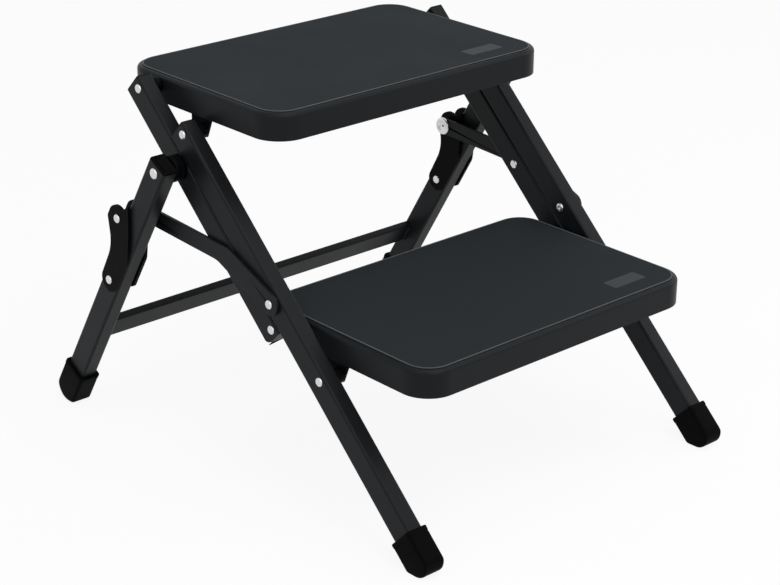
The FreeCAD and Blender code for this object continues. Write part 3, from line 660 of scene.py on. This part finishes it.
# Rivets
# Each pivot turns on a bright zinc-plated steel rivet, pushed through and formed to low heads with a
# small dimple from the tool. The studs at the braces' middles have a head on their inner side only,
# and the rivets on top of the levers on their outer side only.
STEEL_DARK = (0.60, 0.60, 0.60, 1)
STEEL_LIGHT = (0.74, 0.74, 0.73, 1)
STEEL_SCALES = (120.0, 1500.0)
STEEL_ROUGH = (0.30, 0.42)
STEEL_RELIEF = (0.08, 0.0001)
STEEL_SHINE = 0.5
HEAD_HEIGHT = 0.0020
HEAD_PROFILE = [(0.76, 0.06), (0.78, 0.22), (0.98, 0.36), (1.0, 0.48), (0.94, 0.70), (0.76, 0.87),
                (0.50, 0.97), (0.25, 1.0), (0.0, 1.0)]
SHANK_RADIUS = 0.0030
SHANK_END_RADIUS = SHANK_RADIUS * 0.9
SHANK_END_TAPER = 0.0003
TURN_STEPS = 40

rivet_steel = surface("rivet_steel", STEEL_DARK, STEEL_LIGHT, STEEL_SCALES, STEEL_ROUGH, STEEL_RELIEF,
                      STEEL_SHINE)
rivet_steel.node_tree.nodes["Principled BSDF"].inputs["Metallic"].default_value = 1.0


def turned(pivot, profile, side):
    """Rings round an axis across the stool, from pairs of distance from the middle plane and radius."""
    rings = []
    for reach, radius in profile:
        rings.append([(side * reach, pivot[0] + radius * math.cos(turn), pivot[1] + radius * math.sin(turn))
                      for turn in [math.tau * index / TURN_STEPS for index in range(TURN_STEPS)]])
    return rings


def head_profile(seat, way, radius):
    """Profile of a formed head from its dimple to its seat; way is 1 outward and -1 inward."""
    return [(seat + way * HEAD_HEIGHT * rise, radius * share) for rise, share in HEAD_PROFILE]


def span(name, side):
    """Inner and outer distance from the middle plane of a CAD node's part on one side, and its half depth."""
    low, high = side_box(name, side)
    inner, outer = sorted((abs(low.x), abs(high.x)))
    return inner, outer, (high.y - low.y) / 2


def pivot_of(name):
    """Side-plane place (y, z) of the pivot that a rivet node carries."""
    low, high = side_box(name, 1)
    return ((low.y + high.y) / 2, (low.z + high.z) / 2)


def rivet_parts(name, heads):
    """Both rivets of a CAD node, with a head at the inner and at the outer end as given."""
    parts = []
    for side in (1, -1):
        inner, outer, radius = span(name, side)
        inner_seat = inner + HEAD_HEIGHT
        outer_seat = outer - HEAD_HEIGHT
        if heads[0]:
            profile = head_profile(inner_seat, -1, radius) + [(inner_seat, SHANK_RADIUS)]
        else:
            profile = [(inner, SHANK_END_RADIUS), (inner + SHANK_END_TAPER, SHANK_RADIUS)]
        if heads[1]:
            profile += [(outer_seat, SHANK_RADIUS)] + head_profile(outer_seat, 1, radius)[::-1]
        else:
            profile += [(outer - SHANK_END_TAPER, SHANK_RADIUS), (outer, SHANK_END_RADIUS)]
        parts.append((turned(pivot_of(name), profile, side), "capped"))
    return parts


for node, body, heads in [("upper_front_rivets", "front_frame", (True, True)),
                          ("lower_front_rivets", "front_frame", (True, True)),
                          ("brace_front_rivets", "front_frame", (True, True)),
                          ("upper_rear_rivets", "upper_step", (True, True)),
                          ("lower_rear_rivets", "lower_step", (True, True)),
                          ("rear_leg_rivets", "rear_bars", (True, True)),
                          ("lever_foot_rivets", "rear_legs", (True, True)),
                          ("brace_middle_rivets", "braces", (True, False)),
                          ("lever_top_rivets", "levers", (False, True))]:
    rivets = skin(node.replace("rivets", "formed_rivets"), rivet_parts(node, heads), rivet_steel)
    fit(rivets, body, "rivet_steel", node)

# Washers, spacers and collars
# Turned rings of black plastic, threaded on the rivets, keep the layers apart at the pivots.
# Their rims are slightly rounded, and the thick spacer has a shallow groove round its middle.
RIM_ROUND = 0.0006
BORE_RADIUS = 0.00305
SPACER_ROUND = 0.0010
SPACER_ROUND_MIDDLE = 0.0003
GROOVE_HALF_TOP = 0.0022
GROOVE_HALF_FLOOR = 0.0016
GROOVE_DEPTH = 0.0007


def ring_profile(inner, outer, radius):
    """Profile of a plain ring with rounded rims and a bore, from its inner to its outer face."""
    return [(inner, BORE_RADIUS), (inner, radius - RIM_ROUND),
            (inner + RIM_ROUND * 0.3, radius - RIM_ROUND * 0.3), (inner + RIM_ROUND, radius),
            (outer - RIM_ROUND, radius), (outer - RIM_ROUND * 0.3, radius - RIM_ROUND * 0.3),
            (outer, radius - RIM_ROUND), (outer, BORE_RADIUS)]


def spacer_profile(inner, outer, radius):
    """Profile of the thick spacer, from its inner to its outer face."""
    middle = (inner + outer) / 2
    return [(inner, BORE_RADIUS), (inner, radius - SPACER_ROUND),
            (inner + SPACER_ROUND_MIDDLE, radius - SPACER_ROUND_MIDDLE), (inner + SPACER_ROUND, radius),
            (middle - GROOVE_HALF_TOP, radius), (middle - GROOVE_HALF_FLOOR, radius - GROOVE_DEPTH),
            (middle + GROOVE_HALF_FLOOR, radius - GROOVE_DEPTH), (middle + GROOVE_HALF_TOP, radius),
            (outer - SPACER_ROUND, radius), (outer - SPACER_ROUND_MIDDLE, radius - SPACER_ROUND_MIDDLE),
            (outer, radius - SPACER_ROUND), (outer, BORE_RADIUS)]


def lever_top_rings(name):
    """Both plain rings of a CAD node that sit on the rivets at the levers' upper ends."""
    return [(turned(pivot_of("lever_top_rivets"), ring_profile(*span(name, side)), side), "joined")
            for side in (1, -1)]


for level in ("upper", "lower"):
    front_pivot = pivot_of(level + "_front_rivets")
    rear_pivot = pivot_of(level + "_rear_rivets")
    pitch = rear_pivot[0] - front_pivot[0]
    washer_parts = []
    for side in (1, -1):
        inner, outer, half_reach = span(level + "_washers", side)
        radius = half_reach - pitch / 2
        # The front washers seat on the bracket and the rear ones on the skirt outside it.
        for pivot, seat in [(front_pivot, inner), (rear_pivot, inner + TREAD_SHEET)]:
            washer_parts.append((turned(pivot, ring_profile(seat, outer, radius), side), "joined"))
    washers = skin(level + "_turned_washers", washer_parts, black_plastic)
    fit(washers, level + "_step", "black_plastic", level + "_washers")

for side, hand in ((1, "right"), (-1, "left")):
    node = "rear_leg_spacer_" + hand
    spacer_rings = turned(pivot_of("rear_leg_rivets"), spacer_profile(*span(node, side)), side)
    spacer = skin("main_spacer_" + hand, [(spacer_rings, "joined")], black_plastic)
    fit(spacer, "rear_legs", "black_plastic", node)

collars = skin("turned_collars", lever_top_rings("lever_collars"), black_plastic)
fit(collars, "levers", "black_plastic", "lever_collars")

# Braces and their pressed rings
# Each brace is a flat steel strap with the frame's coat and slightly rounded edges.
# A pressed steel ring with a raised lip closes the inner face of its rear end.
RING_LIP = 0.0030
RING_BORE_RADIUS = 0.0016

dress(both("brace"), black_paint)
soften(both("brace"), PLATE_EDGE)
ring_parts = []
for side in (1, -1):
    inner, outer, radius = span("brace_end_rings", side)
    face = inner + RING_LIP
    profile = [(face, SHANK_RADIUS), (outer, SHANK_RADIUS), (outer, RING_BORE_RADIUS),
               (face - 0.0004, RING_BORE_RADIUS),
               (face - 0.0006, 0.0030), (face - 0.0009, radius * 0.45), (inner + 0.0008, radius * 0.62),
               (inner + 0.0001, radius * 0.76), (inner, radius * 0.84), (inner + 0.0003, radius * 0.93),
               (inner + 0.0012, radius), (face - 0.0001, radius), (face, radius - 0.0003)]
    ring_parts.append((turned(pivot_of("lever_top_rivets"), profile, side), "joined"))
rings = skin("pressed_rings", ring_parts, rivet_steel)
fit(rings, "braces", "rivet_steel", "brace_end_rings")

# Levers
# The lever on each rear leg is a pair of black moulded plates, one each side of the tube,
# held apart by a steel sleeve on the rivet at their upper end.
dress(both("lever_outer_cheek") + both("lever_inner_cheek"), black_plastic)
soften(both("lever_outer_cheek") + both("lever_inner_cheek"), PLATE_EDGE)
sleeves = skin("turned_sleeves", lever_top_rings("lever_sleeves"), rivet_steel)
fit(sleeves, "levers", "rivet_steel", "lever_sleeves")
